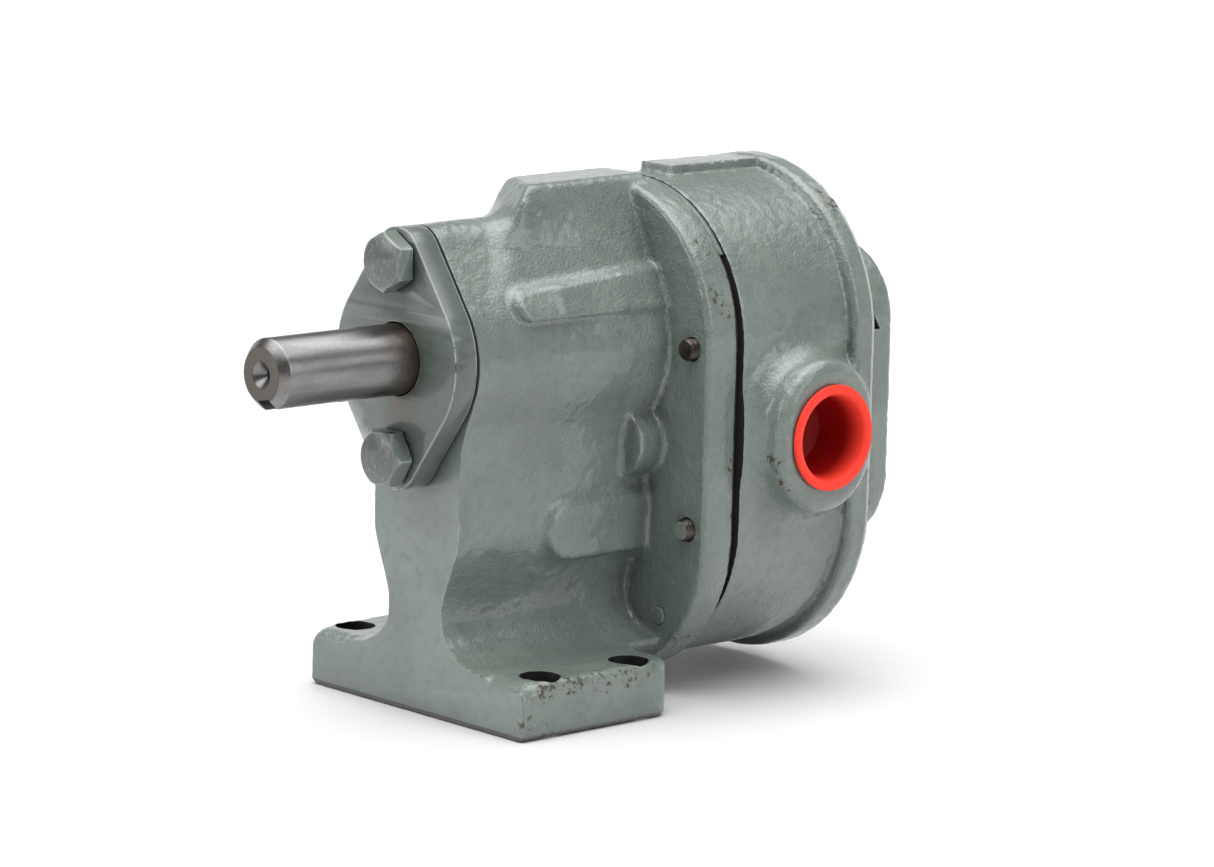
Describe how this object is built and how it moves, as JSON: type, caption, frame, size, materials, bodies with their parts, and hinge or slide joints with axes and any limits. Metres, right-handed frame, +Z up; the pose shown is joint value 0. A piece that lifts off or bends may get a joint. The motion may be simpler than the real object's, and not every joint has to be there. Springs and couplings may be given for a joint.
{
  "type": "gear pump",
  "caption": "Foot-mounted external gear pump with a keyed shaft, a bolted gland plate, a cast housing and a port on each side.",
  "frame": {"origin": "centre of the four foot bolt holes, on the underside of the foot", "axes": "+Z up; shafts along Y, the drive end points to -Y; +X is the side with the right port"},
  "size_m": [0.114, 0.1882, 0.1433],
  "materials": {
    "housing_paint": "grey-green semi-gloss paint over rough cast iron",
    "case_paint": "grey-green semi-gloss paint over rough cast iron",
    "cover_paint": "grey-green semi-gloss paint",
    "gland_paint": "grey-green semi-gloss paint over machined steel",
    "bolt_paint": "grey-green paint over steel",
    "gasket": "matt black",
    "shaft_steel": "ground steel with brown marks near the gland",
    "gear_steel": "machined steel",
    "dark_steel": "dark oxide",
    "screw_steel": "dark oxide, worn paint at the ends",
    "bronze": "sintered bronze",
    "seal_rubber": "matt black",
    "red_plastic": "satin red moulded plastic"
  },
  "bodies": {
    "housing": {"front_housing": "housing_paint", "gear_case": "case_paint", "rear_cover": "cover_paint", "gland_plate": "gland_paint", "gland_bolt_top": "bolt_paint", "gland_bolt_bottom": "bolt_paint", "gland_gasket": "gasket", "front_joint_gasket": "gasket", "rear_joint_gasket": "gasket", "drive_bush_front": "bronze", "drive_bush_rear": "bronze", "idler_bush_front": "bronze", "idler_bush_rear": "bronze", "shaft_seal_case": "dark_steel", "shaft_seal_lip": "seal_rubber", "shaft_seal_spring": "dark_steel", "dowel_lower": "dark_steel", "dowel_upper": "dark_steel", "case_screw_1": "screw_steel", "case_screw_2": "screw_steel", "case_screw_3": "screw_steel", "case_screw_4": "screw_steel", "case_screw_5": "screw_steel", "case_screw_6": "screw_steel"},
    "drive": {"drive_shaft": "shaft_steel", "drive_gear": "gear_steel", "drive_gear_key": "dark_steel", "drive_gear_ring_front": "dark_steel", "drive_gear_ring_rear": "dark_steel"},
    "idler": {"idler_shaft": "shaft_steel", "idler_gear": "gear_steel", "idler_gear_key": "dark_steel"},
    "plug_right": {"port_plug_right": "red_plastic"},
    "plug_left": {"port_plug_left": "red_plastic"}
  },
  "joints": [
    {"name": "drive_spin", "type": "hinge", "parent": "housing", "child": "drive", "pos_m": [0, -0.02707, 0.0967], "axis": [0, 1, 0], "continuous": true},
    {"name": "idler_spin", "type": "hinge", "parent": "housing", "child": "idler", "pos_m": [0, -0.02707, 0.0492], "axis": [0, 1, 0], "continuous": true},
    {"name": "plug_right_pull", "type": "slide", "parent": "housing", "child": "plug_right", "axis": [1, 0, 0], "range_m": [0, 0.03]},
    {"name": "plug_left_pull", "type": "slide", "parent": "housing", "child": "plug_left", "axis": [-1, 0, 0], "range_m": [0, 0.03]}
  ],
  "couplings": [
    {"joint": "idler_spin", "follows": "drive_spin", "ratio": -1}
  ]
}
